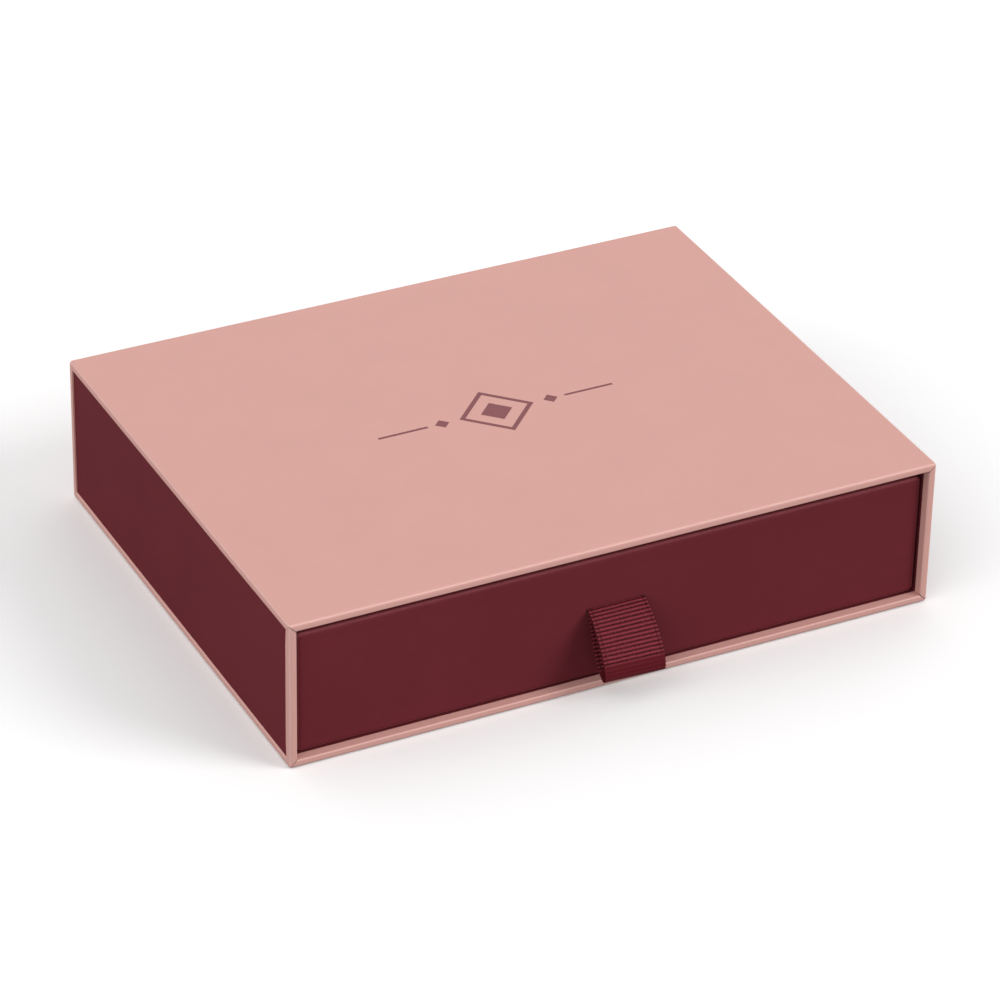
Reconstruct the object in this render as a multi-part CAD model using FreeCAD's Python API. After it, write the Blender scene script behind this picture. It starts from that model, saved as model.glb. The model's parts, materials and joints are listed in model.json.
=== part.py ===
import FreeCAD, Part
import math
import os

# Sliding drawer gift box: a paper-covered board sleeve, open at the front, and a tray
# that slides out of it by a grosgrain ribbon loop.
#
# Millimetres. +X is to the right, +Y to the back and +Z up. The mouth of the sleeve faces
# -Y. The origin is the middle of the sleeve's underside, on the surface it stands on.

# ---------------------------------------------------------------- sizes: papers and tapes
wrap_paper = 0.2  # laminated art paper that covers every board, inside and out
base_paper = 0.2  # the sheet on each underside, over the turned edges of the wrap
turn_in = 12.0  # how far the wrap is folded round an edge to the other side
mouth_fold = 3.2  # what the dark lining leaves in view of the wrap folded into the mouth
mitre_gap = 0.12  # open line where two folded papers meet at a corner
tape = 0.1  # gummed tape that holds board to board
tape_leg = 12.0  # width of the tape on each board
lip_radius = 0.3  # softness of a folded inner edge

# ---------------------------------------------------------------- sizes: sleeve
sleeve_width = 220.0
sleeve_depth = 171.0
sleeve_height = 51.0
sleeve_board = 2.2
sleeve_radius = 1.1  # outer edges, over the paper
side_inset = 0.5  # the side panels lie this far behind the rims round them
sleeve_sheet_inset = 3.0  # from the underside's edge to the edge of its sheet

# ---------------------------------------------------------------- sizes: drawer
drawer_board = 2.0
drawer_recess = 2.8  # the drawer's front stands this far inside the mouth
side_gap = 0.7
top_gap = 2.9
bottom_gap = 0.1
back_gap = 0.8
drawer_radius = 2.0  # outer edges, over the paper
drawer_sheet_inset = 4.0
floor_paper = 0.2

# ---------------------------------------------------------------- sizes: front lining card
card = 1.2  # covered card glued to the inside of the drawer's front
card_side_gap = 0.4
card_below_rim = 1.5
card_above_floor = 0.1

# ---------------------------------------------------------------- sizes: ribbon pull
ribbon_width = 20.0
ribbon_thickness = 0.5
ply_gap = 0.04  # between the two plies where they lie on each other
slit_above_middle = 3.1  # above the middle of the drawer's height
slit_side_gap = 0.15
slit_ply_gap = 0.33
tail_length = 14.0  # glued part of each ply, up and down behind the front
tail_pocket_gap = 0.05
tail_pocket_margin = 1.0
hinge_out = 0.65  # the ribbon bends about a line this far in front of the drawer
root_clearance = 0.06
# Middle line of the loop in side view: how far it stands out of the drawer's front, and
# its height over the slit. The first and last points are the two plies at the slit.
loop_line = [
    (2.9, -1.1),
    (6.2, -3.8),
    (9.0, -6.7),
    (11.3, -9.6),
    (12.9, -12.4),
    (13.8, -15.3),
    (13.6, -17.3),
    (12.5, -18.0),
    (10.9, -17.3),
    (8.6, -15.2),
    (6.3, -12.3),
    (4.1, -8.9),
    (1.9, -4.4),
]

# ---------------------------------------------------------------- sizes: foil ornament
foil = 0.05
foil_deboss = 0.05  # the foil is pressed this far below the paper's face
lozenge_frame = 26.0  # corner to corner
lozenge_stroke = 1.5  # across the frame's band
lozenge_core = 11.0
small_lozenge = 5.0
small_lozenge_from_middle = 19.0
rule_start = 24.0
rule_end = 41.0
rule_width = 1.1

# ---------------------------------------------------------------- sizes: drawer's travel
held_at_full_travel = 2.0  # the back wall is still this far inside the mouth

past = 1.0  # how far a cutting shape goes past what it cuts


# ---------------------------------------------------------------- helpers
def block(x, y, z):
    """A box from its three ranges, each (low, high)."""
    corner = FreeCAD.Vector(x[0], y[0], z[0])
    return Part.makeBox(x[1] - x[0], y[1] - y[0], z[1] - z[0], corner)


def shrink(span, by):
    """A range that is shorter by the same length at both ends."""
    return (span[0] + by, span[1] - by)


def rounded_block(x, y, z, radius):
    """A box with all its edges rounded."""
    shape = block(x, y, z)
    return shape.makeFillet(radius, shape.Edges)


def prism(points, direction):
    """A solid from a closed outline of vectors, pushed along a vector."""
    outline = Part.makePolygon(points + [points[0]])
    return Part.Face(outline).extrude(direction)


def mirrored(shape):
    """The same piece on the other side of the middle plane."""
    return shape.mirror(FreeCAD.Vector(0, 0, 0), FreeCAD.Vector(1, 0, 0))


def joined(shapes):
    """Several overlapping or touching shapes as one."""
    return shapes[0].fuse(shapes[1:]).removeSplitter()


def edges_on(shape, axis, place, x, y, z):
    """The edges that lie on a plane across an axis and inside three ranges."""
    picked = []
    for edge in shape.Edges:
        box = edge.BoundBox
        low = (box.XMin, box.YMin, box.ZMin)
        high = (box.XMax, box.YMax, box.ZMax)
        flat = abs(low[axis] - place) < 1e-4 and abs(high[axis] - place) < 1e-4
        spans = (x, y, z)
        inside = all(
            spans[i][0] - 1e-4 < low[i] and high[i] < spans[i][1] + 1e-4 for i in range(3)
        )
        if flat and inside:
            picked.append(edge)
    return picked


def save(name, shape):
    """Write one piece, or one group of separate solids, as a STEP file."""
    solids = shape.Solids
    if not solids or not shape.isValid():
        raise ValueError(f"{name} is not a valid solid")
    whole = solids[0] if len(solids) == 1 else Part.makeCompound(solids)
    whole.exportStep(f"parts/{name}.step")
    print(f"{name:22s} {len(solids)} solid(s) {whole.Volume:12.3f} mm3")


# ---------------------------------------------------------------- sleeve: its ranges
wall = wrap_paper + sleeve_board + wrap_paper
sleeve_x = (-sleeve_width / 2, sleeve_width / 2)
sleeve_y = (-sleeve_depth / 2, sleeve_depth / 2)
sleeve_z = (base_paper, sleeve_height)  # the wrap's own height, on top of the base sheet

core_x = shrink(sleeve_x, wrap_paper)  # the boards' outer faces
core_y = shrink(sleeve_y, wrap_paper)
core_z = shrink(sleeve_z, wrap_paper)
within_x = shrink(core_x, sleeve_board)  # the boards' inner faces
within_y = shrink(core_y, sleeve_board)
within_z = shrink(core_z, sleeve_board)
mouth_x = shrink(sleeve_x, wall)  # the lined hollow
mouth_z = shrink(sleeve_z, wall)
hollow_y = (sleeve_y[0] - past, sleeve_y[1] - wall)
panel_y = shrink(sleeve_y, wall)

# ---------------------------------------------------------------- sleeve: boards
sleeve_core = rounded_block(core_x, core_y, core_z, sleeve_radius - wrap_paper)
top_board = sleeve_core.common(block(core_x, core_y, (within_z[1], core_z[1])))
base_board = sleeve_core.common(block(core_x, core_y, (core_z[0], within_z[0])))
back_board = sleeve_core.common(block(core_x, (within_y[1], core_y[1]), within_z))
post_left = sleeve_core.common(
    block((core_x[0], within_x[0]), (core_y[0], within_y[0]), within_z)
)
panel_face = sleeve_x[0] + side_inset
side_left = block((panel_face + wrap_paper, within_x[0]), within_y, within_z)
side_cover_left = block((panel_face, panel_face + wrap_paper), panel_y, mouth_z)


def edge_tape(x_out, z_out):
    """An angle of tape in one long inner edge. x_out and z_out are -1 or 1."""
    x_face = within_x[0] if x_out < 0 else within_x[1]
    z_face = within_z[0] if z_out < 0 else within_z[1]
    y = (sleeve_y[0] + turn_in, within_y[1])
    across = sorted((x_face + x_out * tape, x_face - x_out * tape_leg))
    up = sorted((z_face, z_face - z_out * tape_leg))
    on_flat = block(across, y, sorted((z_face, z_face + z_out * tape)))
    on_side = block(sorted((x_face, x_face + x_out * tape)), y, up)
    return joined([on_flat, on_side])


edge_tapes = [edge_tape(x_out, z_out) for x_out in (-1, 1) for z_out in (-1, 1)]
top_board = top_board.cut(edge_tapes)
base_board = base_board.cut(edge_tapes)
side_left = side_left.cut(edge_tapes)
side_right = mirrored(side_left)

# ---------------------------------------------------------------- sleeve: papers
liner_y = (sleeve_y[0] + mouth_fold, within_y[1])
hollow = block(mouth_x, hollow_y, mouth_z)
liner = block(within_x, liner_y, within_z).cut(hollow)

panel_recess = block((sleeve_x[0] - past, panel_face), panel_y, mouth_z)
sleeve_whole = rounded_block(sleeve_x, sleeve_y, sleeve_z, sleeve_radius)
sleeve_whole = sleeve_whole.cut([hollow, panel_recess, mirrored(panel_recess)])
lips = edges_on(sleeve_whole, 1, sleeve_y[0], mouth_x, sleeve_y, mouth_z)
lips += edges_on(sleeve_whole, 0, sleeve_x[0], sleeve_x, panel_y, mouth_z)
lips += edges_on(sleeve_whole, 0, sleeve_x[1], sleeve_x, panel_y, mouth_z)
sleeve_whole = sleeve_whole.makeFillet(lip_radius, lips)

sleeve_boards = [
    top_board,
    base_board,
    back_board,
    post_left,
    mirrored(post_left),
    side_left,
    side_right,
]
sleeve_paper = sleeve_whole.cut(
    sleeve_boards + edge_tapes + [liner, side_cover_left, mirrored(side_cover_left)]
)


def post_region(gap):
    """The left front corner as far as its mitres with the top and base rims."""
    x_far, y_far = sleeve_x[0] - past, sleeve_y[0] - past
    x_near, y_near = sleeve_x[0] + wall, sleeve_y[0] + wall
    low_far, high_far = sleeve_z[0] - past + gap, sleeve_z[1] + past - gap
    low_near, high_near = sleeve_z[0] + wall + gap, sleeve_z[1] - wall - gap
    front_view = prism(
        [
            FreeCAD.Vector(x_far, y_far, low_far),
            FreeCAD.Vector(x_near, y_far, low_near),
            FreeCAD.Vector(x_near, y_far, high_near),
            FreeCAD.Vector(x_far, y_far, high_far),
        ],
        FreeCAD.Vector(0, y_near - y_far, 0),
    )
    side_view = prism(
        [
            FreeCAD.Vector(x_far, y_far, low_far),
            FreeCAD.Vector(x_far, y_near, low_near),
            FreeCAD.Vector(x_far, y_near, high_near),
            FreeCAD.Vector(x_far, y_far, high_far),
        ],
        FreeCAD.Vector(x_near - x_far, 0, 0),
    )
    turned_in = block(
        (within_x[0], mouth_x[0]), (y_near, liner_y[0]), shrink(mouth_z, gap)
    )
    return joined([front_view.common(side_view), turned_in])


post_paper_left = sleeve_paper.common(post_region(mitre_gap / 2))
post_taken = post_region(-mitre_gap / 2)
sleeve_paper = sleeve_paper.cut([post_taken, mirrored(post_taken)])


def underside_sheet(x, y, bottom, edge, flap):
    """The flat sheet glued under a box. Its rim covers the flaps of the wrap, and filler
    paper between the flaps, one wrap paper thick, makes its middle level with them."""
    sheet = block(shrink(x, edge), shrink(y, edge), (bottom, bottom + base_paper))
    filled = (bottom + base_paper, bottom + base_paper + wrap_paper)
    return sheet.fuse(block(shrink(x, flap), shrink(y, flap), filled)).removeSplitter()


sleeve_sheet = underside_sheet(sleeve_x, sleeve_y, 0.0, sleeve_sheet_inset, turn_in)
sleeve_paper = sleeve_paper.cut(sleeve_sheet)


# ---------------------------------------------------------------- sleeve: foil ornament
def lozenge(x, size, low, high):
    """A square on its corner."""
    half = size / 2
    outline = [
        FreeCAD.Vector(x - half, 0, low),
        FreeCAD.Vector(x, -half, low),
        FreeCAD.Vector(x + half, 0, low),
        FreeCAD.Vector(x, half, low),
    ]
    return prism(outline, FreeCAD.Vector(0, 0, high - low))


def ornament(low, high):
    """Framed lozenge in the middle, a small one and a rule on each side."""
    hole = lozenge_frame - 2 * math.sqrt(2) * lozenge_stroke
    frame = lozenge(0, lozenge_frame, low, high).cut(
        lozenge(0, hole, low - past, high + past)
    )
    shapes = [frame, lozenge(0, lozenge_core, low, high)]
    half_rule = (-rule_width / 2, rule_width / 2)
    for side in (-1, 1):
        shapes.append(lozenge(side * small_lozenge_from_middle, small_lozenge, low, high))
        reach = sorted((side * rule_start, side * rule_end))
        shapes.append(block(reach, half_rule, (low, high)))
    return shapes


foil_top = sleeve_z[1] - foil_deboss
foil_shapes = ornament(foil_top - foil, foil_top)
sleeve_paper = sleeve_paper.cut(ornament(foil_top - foil, sleeve_z[1] + past))

# ---------------------------------------------------------------- drawer: its ranges
drawer_wall = wrap_paper + drawer_board + wrap_paper
drawer_x = shrink(mouth_x, side_gap)
drawer_y = (sleeve_y[0] + drawer_recess, hollow_y[1] - back_gap)
drawer_bottom = mouth_z[0] + bottom_gap
drawer_z = (drawer_bottom + base_paper, mouth_z[1] - top_gap)  # the wrap's own height

tray_core_x = shrink(drawer_x, wrap_paper)
tray_core_y = shrink(drawer_y, wrap_paper)
tray_core_z = shrink(drawer_z, wrap_paper)
tray_within_x = shrink(tray_core_x, drawer_board)
tray_within_y = shrink(tray_core_y, drawer_board)
tray_x = shrink(drawer_x, drawer_wall)
tray_y = shrink(drawer_y, drawer_wall)
tray_board_top = tray_core_z[0] + drawer_board
tray_floor = tray_board_top + floor_paper

# ---------------------------------------------------------------- drawer: the slit
slit_z = (drawer_bottom + drawer_z[1]) / 2 + slit_above_middle
ply_middle = (ribbon_thickness + ply_gap) / 2  # from the slit's middle to a ply's middle
slit_half_height = ply_gap / 2 + ribbon_thickness + slit_ply_gap
half_ribbon = ribbon_width / 2
slit_x = (-half_ribbon - slit_side_gap, half_ribbon + slit_side_gap)
slit = block(
    slit_x,
    (drawer_y[0] - past, tray_y[0] + past),
    (slit_z - slit_half_height, slit_z + slit_half_height),
)

# ---------------------------------------------------------------- drawer: boards and tapes
tray_core = rounded_block(
    tray_core_x, tray_core_y, tray_core_z, drawer_radius - wrap_paper
)
under_tape = rounded_block(
    shrink(tray_core_x, tape),
    shrink(tray_core_y, tape),
    shrink(tray_core_z, tape),
    drawer_radius - wrap_paper - tape,
)
stay_z = shrink(tray_core_z, drawer_radius)


def corner_stay(x_out, y_out):
    """An angle of tape round one upright corner of the tray."""
    x_face = drawer_x[0] if x_out < 0 else drawer_x[1]
    y_face = drawer_y[0] if y_out < 0 else drawer_y[1]
    x = sorted((x_face, x_face - x_out * (wrap_paper + tape_leg)))
    y = sorted((y_face, y_face - y_out * (wrap_paper + tape_leg)))
    return tray_core.cut(under_tape).common(block(x, y, stay_z))


corner_stays = [corner_stay(x_out, y_out) for x_out in (-1, 1) for y_out in (-1, 1)]

tray_front = tray_core.common(
    block(tray_core_x, (tray_core_y[0], tray_within_y[0]), tray_core_z)
).cut(corner_stays + [slit])
tray_back = tray_core.common(
    block(tray_core_x, (tray_within_y[1], tray_core_y[1]), tray_core_z)
).cut(corner_stays)
tray_left = tray_core.common(
    block((tray_core_x[0], tray_within_x[0]), tray_within_y, tray_core_z)
).cut(corner_stays)
tray_right = mirrored(tray_left)
tray_base = block(tray_within_x, tray_within_y, (tray_core_z[0], tray_board_top))
tray_floor_paper = block(tray_within_x, tray_within_y, (tray_board_top, tray_floor))

# ---------------------------------------------------------------- drawer: wrap and sheet
tray_hollow = block(tray_x, tray_y, (tray_floor, drawer_z[1] + past))
tray_whole = rounded_block(drawer_x, drawer_y, drawer_z, drawer_radius).cut(tray_hollow)
rim = edges_on(tray_whole, 2, drawer_z[1], tray_x, tray_y, drawer_z)
tray_whole = tray_whole.makeFillet(lip_radius, rim)
tray_sheet = underside_sheet(
    drawer_x, drawer_y, drawer_bottom, drawer_sheet_inset, turn_in
)
tray_paper = tray_whole.cut(
    [tray_front, tray_back, tray_left, tray_right, tray_base, tray_floor_paper]
    + corner_stays
    + [tray_sheet, slit]
)

# ---------------------------------------------------------------- drawer: card and tails
card_y = (tray_y[0], tray_y[0] + card)
lining_card = block(
    shrink(tray_x, card_side_gap),
    card_y,
    (tray_floor + card_above_floor, drawer_z[1] - card_below_rim),
)
tail_y = (tray_y[0], tray_y[0] + ribbon_thickness)
pocket_reach = tail_length + tail_pocket_margin
pocket = block(
    (-half_ribbon - tail_pocket_margin, half_ribbon + tail_pocket_margin),
    (tray_y[0] - past, tail_y[1] + tail_pocket_gap),
    (slit_z - pocket_reach, slit_z + pocket_reach),
)
lining_card = lining_card.cut(pocket)


def tail(up):
    """One ply: through the slit, then flat against the wall. up is -1 or 1."""
    x = (-half_ribbon, half_ribbon)
    near = slit_z + up * ply_gap / 2
    through_z = sorted((near, near + up * ribbon_thickness))
    glued_z = sorted((near, slit_z + up * tail_length))
    through = block(x, (drawer_y[0], tail_y[1]), through_z)
    glued = block(x, tail_y, glued_z)
    return joined([through, glued])


tails = [tail(1), tail(-1)]


# ---------------------------------------------------------------- ribbon loop
def side_point(out, up):
    """A point of the loop's side view, from the slit's mouth."""
    return FreeCAD.Vector(-half_ribbon, drawer_y[0] - out, slit_z + up)


def curve_through(points):
    curve = Part.BSplineCurve()
    curve.interpolate(points)
    return curve


def ribbon_band(middle_line, samples):
    """The strip between the two faces of a ribbon whose middle line is a curve."""
    faces = {1: [], -1: []}
    first, last = middle_line.FirstParameter, middle_line.LastParameter
    for i in range(samples + 1):
        place = first + (last - first) * i / samples
        along = middle_line.tangent(place)[0]
        across = along.cross(FreeCAD.Vector(1, 0, 0))
        across.normalize()
        for side in faces:
            reach = across * (side * ribbon_thickness / 2)
            faces[side].append(middle_line.value(place) + reach)
    rails = [curve_through(faces[side]).toShape() for side in (1, -1)]
    ends = [Part.makeLine(faces[1][i], faces[-1][i]) for i in (0, -1)]
    outline = Part.Wire(Part.__sortEdges__(rails + ends))
    return Part.Face(outline).extrude(FreeCAD.Vector(ribbon_width, 0, 0))


loop_points = [(hinge_out, ply_middle)] + loop_line + [(hinge_out, -ply_middle)]
loop_middle = curve_through([side_point(out, up) for out, up in loop_points])
loop_band = ribbon_band(loop_middle, samples=60)
loop_root = Part.makeCylinder(
    hinge_out - root_clearance,
    ribbon_width,
    side_point(hinge_out, 0),
    FreeCAD.Vector(1, 0, 0),
)
ribbon_loop = joined([loop_band, loop_root])

# ---------------------------------------------------------------- files
save("sleeve_top_board", top_board)
save("sleeve_base_board", base_board)
save("sleeve_back_board", back_board)
save("sleeve_left_board", side_left)
save("sleeve_right_board", side_right)
save("front_post_left", post_left)
save("front_post_right", mirrored(post_left))
save("sleeve_edge_tapes", Part.makeCompound(edge_tapes))
save("sleeve_wrap", sleeve_paper)
save("post_wrap_left", post_paper_left)
save("post_wrap_right", mirrored(post_paper_left))
save("side_cover_left", side_cover_left)
save("side_cover_right", mirrored(side_cover_left))
save("sleeve_liner", liner)
save("sleeve_base_sheet", sleeve_sheet)
save("foil_ornament", Part.makeCompound(foil_shapes))

save("drawer_front_board", tray_front)
save("drawer_back_board", tray_back)
save("drawer_left_board", tray_left)
save("drawer_right_board", tray_right)
save("drawer_base_board", tray_base)
save("drawer_corner_stays", Part.makeCompound(corner_stays))
save("drawer_wrap", tray_paper)
save("drawer_floor_paper", tray_floor_paper)
save("drawer_base_sheet", tray_sheet)
save("front_lining_card", lining_card)
save("ribbon_tails", Part.makeCompound(tails))
save("ribbon_loop", ribbon_loop)

# ---------------------------------------------------------------- what the joints need
travel = drawer_y[1] - sleeve_y[0] - held_at_full_travel
print(f"drawer travel {travel:.2f}")
print(f"ribbon hinge line y {drawer_y[0] - hinge_out:.3f} z {slit_z:.3f}")
print(f"drawer inside x {tray_x} y {(card_y[1], tray_y[1])} z {(tray_floor, drawer_z[1])}")
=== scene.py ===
# %% [markdown]
# # A sliding drawer gift box
#
# The box is a paper-covered board sleeve, open at the front, and a tray that slides out of
# it by a folded ribbon. The boards, joints and clearances are already made as solids. This
# lesson loads them and dresses them: every sheet of paper, the foil stamp and the ribbon
# are made again as the thin, folded things they are, each in the place of its solid.

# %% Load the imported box
import json
import math

import bpy
import numpy as np
from mathutils import Matrix, Vector, noise
from mathutils.geometry import delaunay_2d_cdt


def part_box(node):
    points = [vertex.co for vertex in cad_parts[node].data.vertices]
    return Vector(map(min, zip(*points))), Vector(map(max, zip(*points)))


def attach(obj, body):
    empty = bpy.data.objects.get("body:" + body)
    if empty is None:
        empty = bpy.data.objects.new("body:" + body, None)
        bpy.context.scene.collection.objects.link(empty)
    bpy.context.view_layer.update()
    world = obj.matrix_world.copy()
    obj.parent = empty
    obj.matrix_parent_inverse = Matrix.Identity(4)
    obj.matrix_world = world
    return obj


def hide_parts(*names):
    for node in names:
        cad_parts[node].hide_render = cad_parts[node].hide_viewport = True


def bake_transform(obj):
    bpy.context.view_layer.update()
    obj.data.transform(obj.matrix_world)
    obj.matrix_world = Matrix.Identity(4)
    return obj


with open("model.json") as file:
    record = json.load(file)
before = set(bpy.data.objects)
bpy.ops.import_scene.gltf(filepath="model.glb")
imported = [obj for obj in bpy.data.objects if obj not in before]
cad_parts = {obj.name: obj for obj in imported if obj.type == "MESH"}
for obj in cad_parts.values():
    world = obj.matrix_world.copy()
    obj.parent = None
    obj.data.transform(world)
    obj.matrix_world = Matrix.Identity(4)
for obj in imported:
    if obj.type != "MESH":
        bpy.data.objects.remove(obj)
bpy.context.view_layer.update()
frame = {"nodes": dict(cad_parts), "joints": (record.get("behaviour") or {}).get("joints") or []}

# %% [markdown]
# ## Camera
#
# A long lens from far away keeps the upright edges nearly parallel, as in a catalogue
# picture. The camera's place is easiest to say as a turn round the box, a height over it
# and a distance, so its three axes are worked out from those and put in a matrix.

# %% Camera
scene = bpy.context.scene
scene.view_settings.view_transform = "Standard"

turn, rise, roll = (math.radians(angle) for angle in (-27.0585, 31.6723, 1.2304))
look_at, distance = Vector((-0.003546, -0.01067, 0.024971)), 1.482669
lens, sensor_width = 169.357, 36
backward = Vector(
    (math.sin(turn) * math.cos(rise), -math.cos(turn) * math.cos(rise), math.sin(rise))
)
level = Vector((math.cos(turn), math.sin(turn), 0))
upward = backward.cross(level)
right = level * math.cos(roll) + upward * math.sin(roll)
above = upward * math.cos(roll) - level * math.sin(roll)

camera = bpy.data.objects.new("camera", bpy.data.cameras.new("camera"))
camera.data.sensor_width = sensor_width
camera.data.lens = lens
camera.matrix_world = Matrix.Translation(look_at + backward * distance) @ (
    Matrix((right, above, backward)).transposed().to_4x4()
)
scene.collection.objects.link(camera)
scene.camera = camera
print("camera at", [round(v, 3) for v in camera.location])

# %% [markdown]
# ## Nodes by the line
#
# Shader trees and geometry trees are both made of nodes and links. A few small helpers keep
# them readable: `node` adds one and fills its inputs, `plus`, `times` and their like write
# sums, and `new_group` starts a tree with named inputs and outputs. A helper finds the tree
# it works in by the sockets that it is given.


# %% Helpers for node trees
FLOAT, COLOUR = "NodeSocketFloat", "NodeSocketColor"
GEOMETRY, MATERIAL = "NodeSocketGeometry", "NodeSocketMaterial"
kinds = {float: FLOAT, tuple: COLOUR}
white, black = (1, 1, 1, 1), (0, 0, 0, 1)


def node(kind, inputs=(), tree=None, **settings):
    """Add a node. An input is given a plain value, or a socket to link it to.

    The node goes in the tree of those sockets. Without one, the tree has to be given.
    """
    inputs = dict(inputs)
    sockets = [v for v in inputs.values() if isinstance(v, bpy.types.NodeSocket)]
    tree = tree or sockets[0].id_data
    made = tree.nodes.new(kind)
    for key, value in settings.items():
        setattr(made, key, value)
    for key, value in inputs.items():
        if isinstance(value, bpy.types.NodeSocket):
            tree.links.new(value, made.inputs[key])
        else:
            made.inputs[key].default_value = value
    return made


def output(kind, inputs, tree=None, **settings):
    """The first output of a new node."""
    return node(kind, inputs, tree, **settings).outputs[0]


def give(went, values):
    """Link these values to inputs with these titles."""
    for title, value in values.items():
        value.id_data.links.new(value, went[title])


def sum_of(operation):
    """A function that adds a maths node for these values and gives back its result."""

    def calc(*values, clamp=False):
        settings = {"operation": operation, "use_clamp": clamp}
        return output("ShaderNodeMath", enumerate(values), **settings)

    return calc


plus, minus, times = sum_of("ADD"), sum_of("SUBTRACT"), sum_of("MULTIPLY")
divide, times_plus = sum_of("DIVIDE"), sum_of("MULTIPLY_ADD")
least, most, power = sum_of("MINIMUM"), sum_of("MAXIMUM"), sum_of("POWER")
absolute, sine, sign = sum_of("ABSOLUTE"), sum_of("SINE"), sum_of("SIGN")


def vector(operation, inputs):
    """The result of vector maths on these inputs."""
    return output("ShaderNodeVectorMath", inputs, operation=operation)


def parts_of(value):
    return node("ShaderNodeSeparateXYZ", {0: value}).outputs


def vector_of(**parts):
    return output("ShaderNodeCombineXYZ", parts)


def mix(share, a, b, kind="RGBA"):
    """Value a where the share is 0, value b where it is 1."""
    inputs = {"Factor": share, "A": a, "B": b}
    return node("ShaderNodeMix", inputs, data_type=kind).outputs["Result"]


def eased(value, start, full):
    """0 up to start, 1 from full on, and a smooth change between them."""
    inputs = {"Value": value, "From Min": start, "From Max": full}
    made = node("ShaderNodeMapRange", inputs, interpolation_type="SMOOTHSTEP")
    return made.outputs["Result"]


def soft_noise(place, scale, detail, roughness=0.5):
    inputs = {"Vector": place, "Scale": scale, "Detail": detail, "Roughness": roughness}
    return node("ShaderNodeTexNoise", inputs).outputs["Fac"]


def new_group(name, kind, inputs, outputs):
    """A tree with named sockets: the tree, what comes in, and what goes out.

    An input is given its usual value, or the type of its socket.
    """
    tree = bpy.data.node_groups.new(name, kind)
    for title, value in inputs.items():
        socket = value if isinstance(value, str) else kinds[type(value)]
        made = tree.interface.new_socket(title, in_out="INPUT", socket_type=socket)
        if socket != value:
            made.default_value = value
    for title, socket in outputs.items():
        tree.interface.new_socket(title, in_out="OUTPUT", socket_type=socket)
    came = tree.nodes.new("NodeGroupInput").outputs
    went = tree.nodes.new("NodeGroupOutput").inputs
    return tree, came, went


def named_inputs(tree, values):
    """The tree's inputs with their values. "Rib Depth" is given as rib_depth."""
    for item in tree.interface.items_tree:
        title = item.name.replace(" ", "_").lower()
        if item.in_out == "INPUT" and title in values:
            yield item, values[title]


def srgb(*levels):
    """A colour by its screen levels, 0 to 255, as the linear values shaders use."""
    return tuple(((level / 255 + 0.055) / 1.055) ** 2.4 for level in levels) + (1.0,)


# %% [markdown]
# ## Floor and light
#
# Product pictures of boxes are taken in a light tent: soft light from all round, and more
# of it from some sides. A white world gives the first. Three suns give the second, each
# with such a wide angle that it acts as a large bright panel of the tent. To the camera and
# in reflections the floor is lifted to white, but most of it stays an ordinary matte
# surface, so it still takes the box's shadow.


# %% Floor
def by_ray(tree, soft, seen):
    """One shader for soft light, one for the camera, reflections and clear things."""
    path = tree.nodes.new("ShaderNodeLightPath").outputs
    direct = plus(path["Is Camera Ray"], path["Is Glossy Ray"])
    direct = plus(direct, path["Is Transmission Ray"], clamp=True)
    return output("ShaderNodeMixShader", {0: direct, 1: soft, 2: seen})


def emptied(thing):
    """The node tree of a material or world, with nothing in it."""
    thing.use_nodes = True
    thing.node_tree.nodes.clear()
    return thing.node_tree


def matte(tree, level):
    inputs = {"Color": (level,) * 3 + (1,)}
    return output("ShaderNodeBsdfDiffuse", inputs, tree)


floor_bounce, floor_matte, floor_glow = 0.26, 1.06, 0.05
far = 4.0
floor_mesh = bpy.data.meshes.new("floor")
floor_corners = [(-far, -far, 0), (far, -far, 0), (far, far, 0), (-far, far, 0)]
floor_mesh.from_pydata(floor_corners, [], [(0, 1, 2, 3)])
floor = bpy.data.objects.new("floor", floor_mesh)
scene.collection.objects.link(floor)

floor_paint = bpy.data.materials.new("white_floor")
tree = emptied(floor_paint)
glow = node("ShaderNodeEmission", {"Color": white, "Strength": floor_glow}, tree)
lifted = output("ShaderNodeAddShader", {0: matte(tree, floor_matte), 1: glow.outputs[0]})
shown = by_ray(tree, matte(tree, floor_bounce), lifted)
node("ShaderNodeOutputMaterial", {"Surface": shown})
floor.data.materials.append(floor_paint)

# %% World and lamps
sky_level, lamp_distance = 0.49, 1.5
scene.world = bpy.data.worlds.new("light_tent")
tree = emptied(scene.world)
sky, plain = (
    output("ShaderNodeBackground", {"Color": white, "Strength": strength}, tree)
    for strength in (sky_level, 1.0)
)
shown = by_ray(tree, sky, plain)
node("ShaderNodeOutputWorld", {"Surface": shown})


def soft_sun(name, direction, spread, level):
    """Light from a wide patch of sky. A white sheet that faces it is lit to this level."""
    made = bpy.data.objects.new(name, bpy.data.lights.new(name, "SUN"))
    made.data.angle = math.radians(spread)
    made.data.energy = level * math.pi
    out = Vector(direction).normalized()
    made.location = out * lamp_distance
    made.rotation_euler = out.to_track_quat("Z", "Y").to_euler()
    scene.collection.objects.link(made)


soft_sun("key_light", (0.66, -0.58, 0.48), spread=32, level=0.48)
soft_sun("fill_light", (-0.85, -0.33, 0.42), spread=80, level=0.46)
soft_sun("back_light", (0.15, 0.80, 0.58), spread=80, level=0.11)
print("lamps and world ready")
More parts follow.
